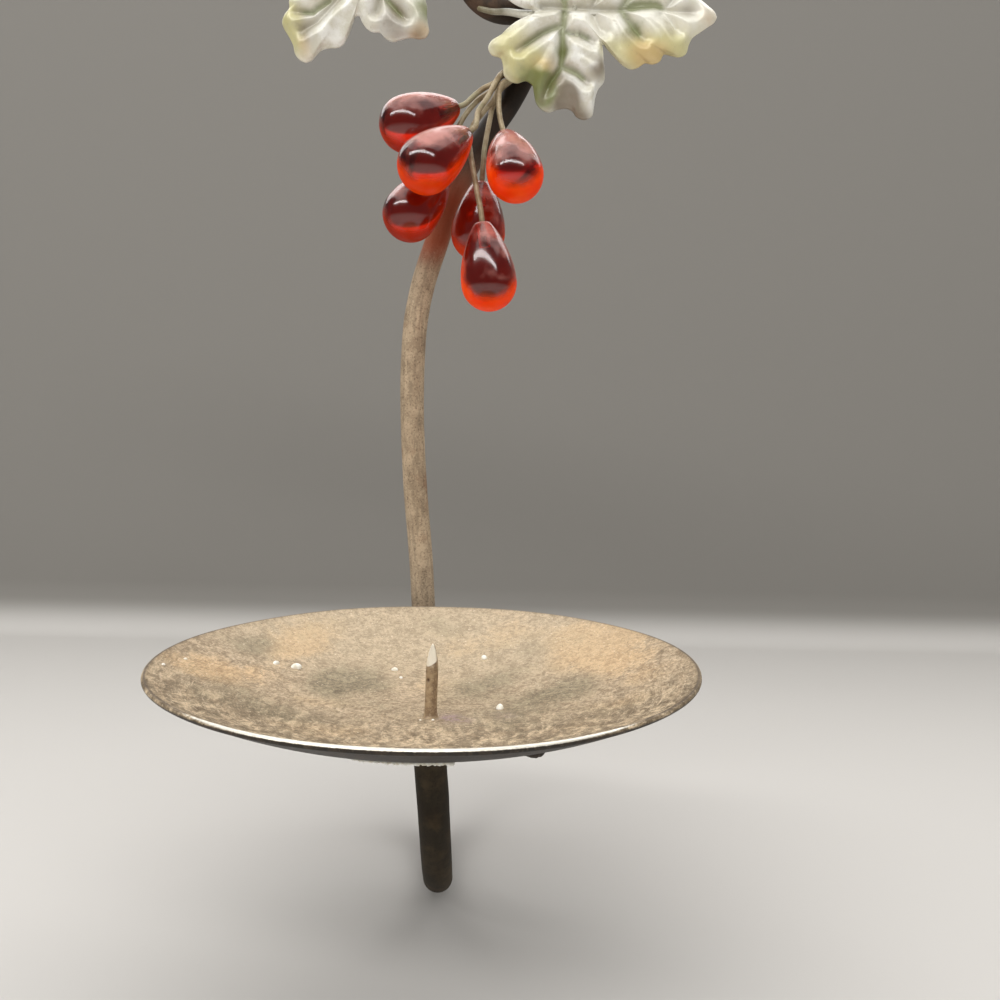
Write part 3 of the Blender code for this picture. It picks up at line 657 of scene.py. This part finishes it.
leaves = {
    "leaf_right": {
        "middle": (0.021, -0.018, -0.0298), "turn": 1.0, "seed": 11,
        "outline": halfOutline + tuple((360 - a, r) for a, r in halfOutline[-2:0:-1]),
        "veins": (midVein, greenVein, *lowerVeins, *mirrored(lowerVeins)),
        # soft patches of tint in mm: along, across, size, strength
        "yellow": (
            (-21, 13, 7, 0.62), (-23, 8, 6, 0.4), (-15, 19, 6, 0.9), (-11, 15, 5, 0.5), (22, 12.5, 7, 0.8),
            (31, 11.5, 7, 1), (16, 12, 6, 0.5), (-14, -18, 7, 0.6), (25, -12, 7, 0.6), (10, 11, 4, 0.4),
            (40, 6, 6, 0.3), (-16, 5, 5, 0.25),
        ),
        "orange": (
            (-9.5, 17, 4.5, 0.75), (21, 12.8, 5.5, 0.95), (43, 1, 5, 0.6), (28, 13.5, 5, 0.7),
            (-9, -17, 3, 0.4), (-14, 17, 4, 0.25),
        ),
        "pale": (
            (8, 4, 5, 0.8), (21, 2, 7, 0.6), (28, 2, 7, 0.6), (37, 4, 8, 0.8), (43, 2, 5, 0.6),
            (-5, 4, 5, 0.5), (1, 3, 4, 0.4), (22, -9, 9, 0.5),
        ),
        "green": (
            (-9.3, 25, 5, 1), (-13, 20, 4.5, 0.6), (-3.8, 12, 2.6, 0.7), (10, 6, 3, 0.25),
            (18.5, 5.5, 3.5, 0.6), (-16, -12, 4, 0.3), (-7.5, 21, 3, 0.5), (-17, 18, 5, 0.25),
            (-11, 11, 3, 0.3), (30, 12, 3, 0.3),
        ),
        # brown: partly the enamel's brown, partly painted shade where the lower lobe curls back
        "brown": (
            (-2, 24.5, 3.4, 0.9), (-1.5, 28.5, 3.4, 1), (2, 33, 4, 0.95), (-5, 28, 3, 0.4),
            (-4.5, 20.5, 2.6, 0.6), (7, 18.5, 3.4, 0.7), (9.5, 15.5, 2.6, 0.5), (7.5, 3, 3, 0.25),
            (29, 1.5, 4, 0.2), (36, -1, 3, 0.5), (41, 3, 4, 0.15), (0, -24, 5, 0.5), (-8, 14.5, 2.6, 0.5),
            (17, 8, 3, 0.4), (30, 6, 3, 0.35), (9, 25, 2.5, 0.3),
        ),
    },
    "leaf_left": {
        "middle": (-0.0431, -0.016, -0.0156), "turn": -126.0, "seed": 12,
        "outline": roundOutline,
        "veins": (
            (((0, 0), (12, 1.9), (21, 3.4), (24.7, 3.9), (29.5, 6.1)), 1.5, 0.6, 0.15),
            (((17, 4.4), (21.1, 6.1), (22.8, 6.5), (24.1, 8.3), (25.6, 10.8)), 1.3, 1, 0.9),
            (((0, 0), (4.2, -6.5), (6, -11), (6.8, -15.6), (6.9, -18.4)), 1.3, 1, 0.9),
            (((5, -7.5), (9.4, -9.3), (11.5, -9.8)), 1.3, 0.6, 0.3),
            (((-1, 1), (-4.5, 12), (-5, 22), (-4.5, 28)), 1.3, 1, 0.9),
            (((-4, 10), (-11, 14), (-17, 20)), 1.3, 0.8, 0.8),
            (((-4.6, 15), (1.5, 19), (4, 24)), 1.3, 0.8, 0.8),
            (((0, 0), (-10, -4.5), (-20, -9.5)), 1.3, 0.9, 0.8),
            (((-8, -3.8), (-10, -10), (-15, -15)), 1.3, 0.7, 0.7),
            (((8, 1.4), (13, 8), (21, 14)), 1.3, 0.8, 0.7),
        ),
        "yellow": (
            (28, 13.5, 5, 1), (31.5, 9, 4.5, 0.9), (34.5, 4, 4, 0.5), (1.6, -20, 4, 0.3), (-5, 28, 6, 0.6),
        ),
        "orange": ((32, 3.6, 3, 0.35), (34.5, 1, 4, 0.45), (6.4, -24.8, 3.6, 0.8), (10, -23.5, 2.5, 0.5)),
        "pale": ((21.4, 6.7, 4, 0.7), (14, -10, 4.5, 0.45), (4.6, -20.4, 4, 0.35)),
        "green": ((1, -21.5, 5, 0.6), (7.5, -16, 3, 0.3), (-16, 18, 5, 0.5)),
        "brown": (
            (11, -17.5, 6, 0.55), (29.6, 2.8, 4, 0.4), (32, 12, 6, 0.3), (12.5, -11, 4, 0.2),
            (8, -24.5, 2.6, 0.5), (22, -1, 3, 0.3), (27, 7, 3, 0.25), (6, -14, 3, 0.4),
        ),
    },
}


# A spot along and across a leaf's midrib from its middle, and back from it.
def leafSpot(leaf, along, across, back):
    x, y, z = leaf["middle"]
    ct, st = math.cos(math.radians(leaf["turn"])), math.sin(math.radians(leaf["turn"]))
    return joined(x + along * ct + across * st, y + back, z + along * st - across * ct)


# How far a leaf falls back at this distance from its middle, squared.
def leafFall(squared):
    return blade["droop"] * squared / blade["span"] ** 2


# The distance from each point to a line, and how far along the line that is.
def fromLine(along, across, line):
    line = np.array(line, float)
    start, span = line[:-1], np.diff(line, axis=0)
    a = along[..., None] - start[:, 0]
    b = across[..., None] - start[:, 1]
    share = np.clip((a * span[:, 0] + b * span[:, 1]) / (span**2).sum(1), 0, 1)
    gap = np.hypot(a - share * span[:, 0], b - share * span[:, 1])
    nearest = gap.argmin(-1)
    whole = (nearest + np.take_along_axis(share, nearest[..., None], -1)[..., 0]) / len(span)
    return gap.min(-1), whole


# How far back the sheet lies: it falls away all round, swells between its veins, has a groove along
# each and bows a little. Then how green each spot is and how deep in a hollow.
def leafBack(along, across, leaf, inside):
    a, b = along / mm, across / mm
    nearest = np.full(a.shape, 99.0)
    groove = green = np.zeros(a.shape)
    for line, width, depth, tint in leaf["veins"]:
        gap, whole = fromLine(a, b, line)
        nearest = np.minimum(nearest, gap)
        wide = width * (1 - 0.45 * whole)
        cut = depth * np.exp(-((gap / wide) ** 2)) * np.clip((1 - whole) * 6, 0, 1)
        groove = np.maximum(groove, cut)
        tinted = tint * np.exp(-((gap / (wide * 1.15)) ** 2)) * np.clip((1 - whole) * 5, 0, 1)
        green = np.maximum(green, tinted)
    u = (nearest * mm / blade["between"]) ** 2
    swell = blade["puff"] * (0.5 * (1 - np.exp(-u)) + 0.62 * u * np.exp(1 - u))
    swell = swell * (0.3 + 0.7 * (1 - np.exp(-((inside / blade["calmEdge"]) ** 2))))
    slow, quick = blade["bow"]
    bow = slow * waves(a * 0.21 + b * 0.13, leaf["seed"], 1, 3)
    bow = bow + quick * waves(b * 0.33 - a * 0.2, leaf["seed"] + 7)
    hollow = np.exp(-((nearest / blade["hollow"]) ** 2)) * np.clip(1.2 - green * 0.5, 0, 1)
    return leafFall(along**2 + across**2) - swell + groove * blade["groove"] + bow, green, hollow


# Pearl with patches of tint, brown patches and brown in the hollows by the veins, both partly painted shade,
# green furrows, and plain behind.
def leafFinish():
    paint = Paint("leafEnamel")
    _, cloud, fine = paint.clouds(210, 900)
    pale = paint.layer("pale")
    pearl = paint.coats((216, 212, 195), (cloud, 0.38, 0.64, 1, (247, 246, 239)))
    wash = (cloud - 0.5) * 0.7
    colour = paint.coats(
        paint.blend(pale * 0.7, pearl, (250, 247, 234)),
        (paint.layer("yellow") + wash, 0.05, 0.95, 0.72, (206, 197, 118)),
        (paint.layer("orange") + wash, 0.1, 1.0, 0.6, (214, 172, 106)),
        (paint.layer("green") + wash, 0.05, 0.85, 0.92, (116, 124, 62)),
        # Brown patches: partly the enamel's brown, partly painted shade where the lower lobe curls back.
        (paint.layer("brown") + wash, 0.05, 0.9, 0.9, (124, 110, 90)),
        # Brown in the hollows by the veins: partly antiquing, partly painted shade.
        (paint.layer("hollow") + (cloud - 0.5) * 0.9, 0.2, 1.0, (1 - pale * 0.85) * 0.56, (132, 121, 98)),
    )
    furrow = paint.ease(paint.layer("furrow") + (fine - 0.5) * 0.3 + (cloud - 0.5) * 0.5, 0.08, 1.15)
    colour = paint.blend(furrow * 0.8, colour, (120, 128, 68))
    colour = paint.coats(colour, (fine, 0.62, 0.74, 0.25, (150, 140, 118)))
    colour = paint.blend(paint.layer("rear") * 0.8, colour, (120, 116, 92))
    dents = cloud * 0.6 + fine * 0.2
    return paint.lacquer(colour, 0.34 + cloud * 0.14 + furrow * 0.15, (dents, 0.0006, 0.3),
                         Metallic=0.12, Coat_Weight=0.7, Coat_Roughness=0.32)


# Rings from the middle to the outline in front, over the edge and back behind. The outline is smoothed
# past its own start, to close without a corner.
def makeLeaf(name):
    leaf = leaves[name]
    degrees, reach = np.array(leaf["outline"]).T
    angle, reach = np.radians(degrees), reach * mm
    around = joined(reach * np.cos(angle), reach * np.sin(angle))
    loop = smoothRoute(np.concatenate([around[-3:], around, around[:4]]), 0.0001)
    away = np.hypot(*(loop - around[0]).T)
    quarter = len(loop) // 4
    entry = np.argmin(away[:quarter])
    leave = len(loop) - 1 - np.argmin(away[::-1][:quarter])
    outline = smoothRoute(loop[entry:leave][::6], 0.0005, blade["columns"] + 1)[:-1]
    size = np.hypot(*outline.T)
    half = blade["sheet"] / 2
    share = np.sin(np.linspace(0.01, 1, blade["rings"]) * math.pi / 2) ** 0.9
    turn = np.linspace(0, math.pi, 9)[1:-1]
    inset = half / size
    front = share[:, None] * (1 - inset)
    edge = 1 - inset * (1 - np.sin(turn))[:, None]
    back = front[::-1][::3]
    ratio = np.concatenate([front, edge, back])
    depth = np.concatenate([np.zeros(len(front)), half * (1 - np.cos(turn)), np.full(len(back), 2 * half)])
    along, across = ratio * outline[:, 0], ratio * outline[:, 1]
    behindBy, green, hollow = leafBack(along, across, leaf, (1 - np.minimum(ratio, 1)) * size)
    rim = blade["edge"] * np.exp(-(((1 - ratio) * size / blade["edgeWidth"]) ** 2))
    grid = leafSpot(leaf, along, across, behindBy + rim - half + depth[:, None])
    a, b = along / mm, across / mm
    layers = {key: patches(a, b, leaf[key]) for key in ("yellow", "orange", "green", "brown", "pale")}
    rear = np.clip(depth[:, None] / half - 1, 0, 1) + 0 * a
    layers.update(furrow=green * (1 - rear), hollow=hollow * (1 - rear), rear=rear)
    makePiece(name + "_enamel", [grid], leafPaint, [name], layers)


stalkFit = {"offRod": 0.0014, "offLeaf": 0.0017, "step": 0.0006, "sway": 0.00002, "sides": 20}
stalks = {
    "leaf_stalk_right": {
        "leaf": "leaf_right", "onEye": ((238.5, 0.0034), (253, 0.0026), (266, 0.002)),
        "free": (), "under": (-0.0135, 0.007), "radius": (0.00085, 0.00135),
    },
    "leaf_stalk_left": {
        "leaf": "leaf_left", "onEye": ((196, 0.0016), (184, 0.0024), (174, 0.0034)),
        "free": ((-0.024, -0.0112, -0.0048),), "under": (-0.0125, 0.007), "radius": (0.0009, 0.0012),
    },
}


def stalkFinish():
    paint = Paint("stalkEnamel")
    _, cloud, fine = paint.clouds(300, 1500)
    colour = paint.coats(
        (116, 106, 72), (paint.layer("run") + (cloud - 0.5) * 0.3, 0.02, 0.42, 1, (246, 242, 226)),
        (fine, 0.6, 0.72, 0.4, (128, 120, 88)),
    )
    return paint.lacquer(colour, 0.3 + cloud * 0.15, (cloud + fine, 0.0003, 0.3),
                         Coat_Weight=0.5, Coat_Roughness=0.2)


# Round the front of the eye, across to the leaf and along behind it.
def makeStalk(name):
    stalk = stalks[name]
    touch = rod["radius"] + stalkFit["offRod"]
    points = [eyePoint(degrees, out, math.sqrt(touch**2 - out**2)) for degrees, out in stalk["onEye"]]
    points += stalk["free"]
    behind = blade["sheet"] / 2 + stalkFit["offLeaf"]
    for along in np.linspace(*stalk["under"], 4):
        points.append(leafSpot(leaves[stalk["leaf"]], along, 0, leafFall(along**2) + behind))
    path = smoothRoute(points, stalkFit["step"])
    thin, thick = stalk["radius"]
    share = np.linspace(0, 1, len(path))
    radius = thin + (thick - thin) * np.clip(share * 2.2, 0, 1) + stalkFit["sway"] * waves(share * 40, 21)
    grid, run = sweep(path, radius, stalkFit["sides"], calmSide(path))
    layers = {"run": (run / run[-1])[:, None] + 0 * grid[..., 0]}
    makePiece(name + "_wire", [grid], stalkPaint, [name], layers)


drop = {
    "radius": 0.0087, "neck": 0.002, "swell": 0.8, "bore": 0.009, "boreRadius": 0.00115, "columns": 96,
    "oval": 0.012, "ovalFrom": 0.004,
}
wire = {
    "radius": 0.00085, "top": -0.037, "low": -0.045, "turn": 27, "first": -15, "sides": 18,
    "gap": 0.0001, "short": 0.0006, "lead": 0.003, "step": 0.0006, "sway": 0.00006,
}
# For each berry: its wire's place on the rod, counted round, how bright its painted glow is, and in mm
# its neck, the middle of its bulb and its wire's way.
berries = (
    (1, 0.35, (-15.7, -16.5, -58.9), (-30.8, -24, -66.7), (-2.3, -9.5, -46.6), (-3.3, -12.5, -49.6),
     (-7.3, -13.8, -52.1), (-11, -14.8, -55.4)),
    (2, 0.8, (-11.7, -27.5, -69.8), (-23.8, -36.6, -81.9), (-1.5, -12.2, -46.8), (-3, -15.5, -49.7),
     (-5.9, -17.8, -56), (-8.8, -21.8, -61.7)),
    (0, 0.3, (-19.1, -18, -79.6), (-29.6, -23.7, -93.9), (-2.6, -6.4, -46.7), (-3.3, -9.8, -49.8),
     (-6, -10.8, -52.7), (-9, -11.7, -55.1), (-12.3, -13.6, -59.3), (-15.2, -15.3, -64.8),
     (-16.6, -16, -71.2)),
    (5, 1.8, (-0.5, -19.6, -68.1), (3.1, -31.6, -82.9), (3, -13.8, -49), (-1.6, -14.8, -51),
     (-2.5, -15.8, -56), (-2.1, -16.6, -61.5)),
    (4, 1, (-6.8, -31, -97.3), (-4.4, -31, -115.7), (1.6, -11.5, -48.8), (-1.6, -12.7, -51),
     (-4.3, -14.5, -56.3), (-7.4, -17, -60.5), (-10.1, -20, -65), (-11.5, -22.5, -69.7), (-11, -24.8, -74.5),
     (-9.3, -28.1, -84.1), (-8.1, -30.1, -90)),
    (3, 0.5, (-7.4, -17, -81.9), (-8.4, -15.5, -98.2), (0.9, -9.4, -48.6), (-1.6, -10.5, -51),
     (-4.1, -11, -56), (-5.7, -13, -64), (-6.8, -15.6, -72)),
)


# Clear red glass with a painted orange-red crescent of light low in each drop, which glows faintly, and a
# painted pinkish sheen of the room on top, partly a milky dust film.
def berryFinish():
    paint = Paint("berryGlass")
    place, lit = paint.place(), paint.layer("lit")
    cloud = paint.noise(place, 160, 3, 0.5)
    wavy = paint.bump(paint.noise(place, 90, 2, 0.5), 0.0006, 0.25)
    # The glass's tint grows lighter and oranger towards the bottom, adding to the painted glow there.
    colour = paint.coats(
        (246, 140, 122), (paint.layer("drop") + (cloud - 0.5) * 0.15, 0.25, 0.95, 1, (255, 172, 112)),
        (cloud, 0.52, 0.36, 0.5, (176, 84, 78)),
    )
    rise = paint.part(paint.normal())
    edge = paint.node("LayerWeight", {"Blend": 0.68}, None, "Facing")
    low = paint.ease(edge * 1.1 - rise + (cloud - 0.5) * 0.6 + lit * 0.2, 0.68, 1.42)
    glass = paint.shader(Base_Color=colour, Roughness=0.17, IOR=1.5, Transmission_Weight=1.0, Normal=wavy,
                         Coat_Weight=(1 - low) * 0.7, Coat_Roughness=0.1)
    # The crescent is painted light: orange-red, brighter where a berry's glow is set higher, with a faint
    # emission.
    bright = paint.blend(cloud, (255, 40, 6), (255, 88, 12))
    crescentLight = paint.shader(
        Base_Color=paint.blend(lit, (84, 14, 8), bright), Roughness=0.25, Specular_IOR_Level=0.06,
        Emission_Color=paint.blend(lit, (20, 2, 1), bright), Emission_Strength=0.12, Normal=wavy,
    )
    # A painted pinkish sheen of the room on up-facing surfaces, partly a dust film.
    dustAndSheen = paint.shader(Base_Color=tone(226, 152, 140), Roughness=0.24, IOR=1.8, Normal=wavy)
    dustSheenShare = paint.ease(rise * 1.1 + (cloud - 0.5) * 1.7, 0.18, 1.0) * 0.66
    inner = paint.mix(low * 0.93, glass, crescentLight)
    body = paint.node("VolumeAbsorption", {"Color": (0.82, 0.235, 0.02, 1), "Density": 265.0})
    return paint.finish(paint.mix(dustSheenShare, inner, dustAndSheen), Volume=body)


def wireFinish():
    paint = Paint("wireLacquer")
    place, cloud, fine = paint.clouds(260, 1700)
    colour = paint.coats(
        (138, 118, 88), (cloud, 0.38, 0.62, 1, (176, 160, 130)),
        (paint.noise(place, 120, 2, 0.5), 0.5, 0.66, 0.6, (150, 148, 118)),
        (fine, 0.58, 0.7, 0.5, (104, 84, 60)),
    )
    return paint.lacquer(colour, 0.4 + fine * 0.15, (cloud + fine, 0.0003, 0.35), Metallic=0.2)


# A drop turned round its wire, with a bore down the neck: radius neck + (bulb - neck) * sin(share * 90
# degrees) ^ swell down to the bulb's middle, then half a ball.
def makeBerry(number, lit, neck, bulb):
    down, length = unit(bulb - neck), np.linalg.norm(bulb - neck)
    big, small, deep = drop["radius"], drop["neck"], drop["bore"]
    bore = [(drop["boreRadius"] * s, deep) for s in (0.2, 0.7, 1.0)]
    bore += [(drop["boreRadius"], h) for h in np.linspace(deep, 0, 12)[1:]]
    lip = [(small * 0.72, 0.0), (small * 0.92, 0.0001)]
    share = np.linspace(0, 1, 48)[1:]
    cone = joined(small + (big - small) * np.sin(share * math.pi / 2) ** drop["swell"], share * length)
    ball = np.linspace(0, math.pi / 2, 40)[1:]
    bottom = joined(np.maximum(big * np.cos(ball), big * 0.01), length + big * np.sin(ball))
    profile = np.concatenate([bore, lip, cone, bottom])
    side = unit(np.cross(down, (0.0, 1.0, 0.3)))
    turn = circle(drop["columns"])
    outside = profile[:, 1:] > drop["ovalFrom"]
    reach = profile[:, :1] * (1 + drop["oval"] * np.sin(2 * turn + number) * outside)
    grid = neck + profile[:, None, 1:] * down + reach[..., None] * rings(turn, side, np.cross(down, side))
    depth = profile[:, 1:] / (length + big) + 0 * turn
    layers = {"drop": depth, "lit": lit + 0 * depth}
    makePiece(f"drop_{number}", [grid], berryPaint, [f"berry_{number}"], layers)


# A point beside the vine at this height, degrees round from its left side towards the room.
def rodSide(height, degrees, distance):
    vine = (route[:, 2] > vineFoot) & (route[:, 2] < eyeZ)
    near = np.argmin(np.where(vine, np.abs(route[:, 2] - height), 1.0))
    ahead = unit(route[near + 1] - route[near - 1])
    left = unit(np.array([-ahead[2], 0, ahead[0]]))
    here = route[near] + ahead * ((height - route[near][2]) / ahead[2])
    angle = math.radians(degrees)
    return here + (left * math.cos(angle) + np.array([0, -1, 0]) * math.sin(angle)) * distance


# Along the rod, through the bunch and into the berry, with a hand-bent wire's small kinks.
def makeWire(number, place, neck, bulb, way):
    down = unit(bulb - neck)
    degrees = wire["first"] + wire["turn"] * place
    touch = rod["radius"] + wire["radius"] + wire["gap"]
    points = [rodSide(height, degrees, touch) for height in np.linspace(wire["top"], wire["low"], 3)]
    inside = drop["bore"] - wire["short"]
    ends = [neck + down * depth for depth in (-wire["lead"], 0, inside / 2, inside)]
    path = smoothRoute([*points, *way, *ends], wire["step"])
    share = np.linspace(0, 1, len(path))
    sway = (wire["sway"] * np.sin(math.pi * share))[:, None]
    path = path + sway * joined(waves(share * 22, number), waves(share * 19, number + 9), 0)
    radius = wire["radius"] * (1 + 0.03 * waves(share * 60, number + 30))
    grid = sweep(path, radius, wire["sides"], calmSide(path))[0]
    makePiece(f"wire_{number}", [grid], wirePaint, [f"berry_wire_{number}"])


print("sconce: rod and dish")
makeRod()
dishPaint = dishFinish()
makeDish()
makeMarks()
makeSpike()
print("sconce: leaves")
leafPaint, stalkPaint = leafFinish(), stalkFinish()
for leafName in leaves:
    makeLeaf(leafName)
for stalkName in stalks:
    makeStalk(stalkName)
print("sconce: berries")
berryPaint, wirePaint = berryFinish(), wireFinish()
for number, (place, lit, *spots) in enumerate(berries, start=1):
    neck, bulb, *way = np.array(spots) * mm
    makeBerry(number, lit, neck, bulb)
    makeWire(number, place, neck, bulb, way)

stage = {
    "floor": -0.2938, "wall": 0.27, "cove": 0.03, "width": 2.2, "near": -2.6, "top": 0.104,
    "pale": (200, 197, 193), "grey": (134, 131, 126),
}
lamps = (
    # name, place, aimed at, width, height, watts, colour
    ("ceiling", (0, 0.02, 0.8), (0, 0, -0.12), 1.9, 1.3, 7.4, (1, 0.99, 0.97)),
    ("near", (-0.2, -0.77, 0.52), (0, -0.08, -0.12), 2, 0.16, 9.2, (1, 0.99, 0.97)),
    ("behind", (0, 0.44, 0.42), (0, -0.06, -0.08), 1.7, 0.7, 6.5, (1, 0.99, 0.98)),
)
camera = {"place": (0.00023, -0.34428, -0.15498), "down": 5.078, "roll": -1.042, "lens": 36}
# Gloss sees a dimmer room, so that glass and enamel keep their depth
sky = {"strength": 0.45, "plain": (0.8, 0.8, 0.79, 1), "gloss": (0.22, 0.22, 0.22, 1)}


# Pale on the floor, grey above it, and clear from behind.
def stageFinish():
    paint = Paint("stageGrey")
    rise = paint.ease(paint.part(paint.place()), stage["floor"] + 0.001, stage["floor"] + 0.02)
    plain = paint.shader(Base_Color=paint.blend(rise, stage["pale"], stage["grey"]), Roughness=0.9)
    behind = paint.node("NewGeometry", out="Backfacing")
    return paint.finish(paint.mix(behind, plain, paint.node("BsdfTransparent")))


def makeStage():
    turn = np.linspace(0, math.pi / 2, 17)
    low, back, curve = stage["floor"], stage["wall"], stage["cove"]
    bend = joined(back - curve + curve * np.sin(turn), low + curve * (1 - np.cos(turn)))
    line = np.concatenate([[(stage["near"], low)], bend, [(back, stage["top"])]])
    wide = np.array([[-stage["width"], stage["width"]]])
    points = joined(wide, line[:, :1], line[:, 1:]).reshape(-1, 3)
    row = np.arange(len(line) - 1) * 2
    faces = np.stack([row, row + 1, row + 3, row + 2], -1)
    addMesh("stage_cove", points, faces, stageFinish())


def makeLamps():
    for name, place, aim, width, height, watts, colour in lamps:
        light = bpy.data.lights.new(name, "AREA")
        light.shape = "RECTANGLE"
        light.size, light.size_y = width, height
        light.energy, light.color = watts, colour
        holder = addObject(name, light)
        holder.location = place
        holder.rotation_euler = (Vector(aim) - Vector(place)).to_track_quat("-Z", "Y").to_euler()
        holder.visible_camera = False


def makeSky():
    paint = Paint("room", bpy.data.worlds)
    gloss = paint.node("LightPath", out="Is Glossy Ray")
    colour = paint.node("Mix", {0: gloss, 6: sky["plain"], 7: sky["gloss"]}, {"data_type": "RGBA"}, 2)
    paint.node("OutputWorld", (paint.node("Background", (colour, sky["strength"])),))
    bpy.context.scene.world = paint.owner


def makeCamera():
    tilt = Matrix.Rotation(math.radians(90 - camera["down"]), 4, "X")
    roll = Matrix.Rotation(-math.radians(camera["roll"]), 4, "Z")
    data = bpy.data.cameras.new("view")
    data.lens, data.sensor_width, data.clip_start = camera["lens"], 36.0, 0.01
    holder = addObject("view", data)
    holder.matrix_world = Matrix.Translation(camera["place"]) @ tilt @ roll
    bpy.context.scene.camera = holder


makeStage()
makeLamps()
makeSky()
makeCamera()
bpy.context.scene.view_settings.view_transform = "Standard"
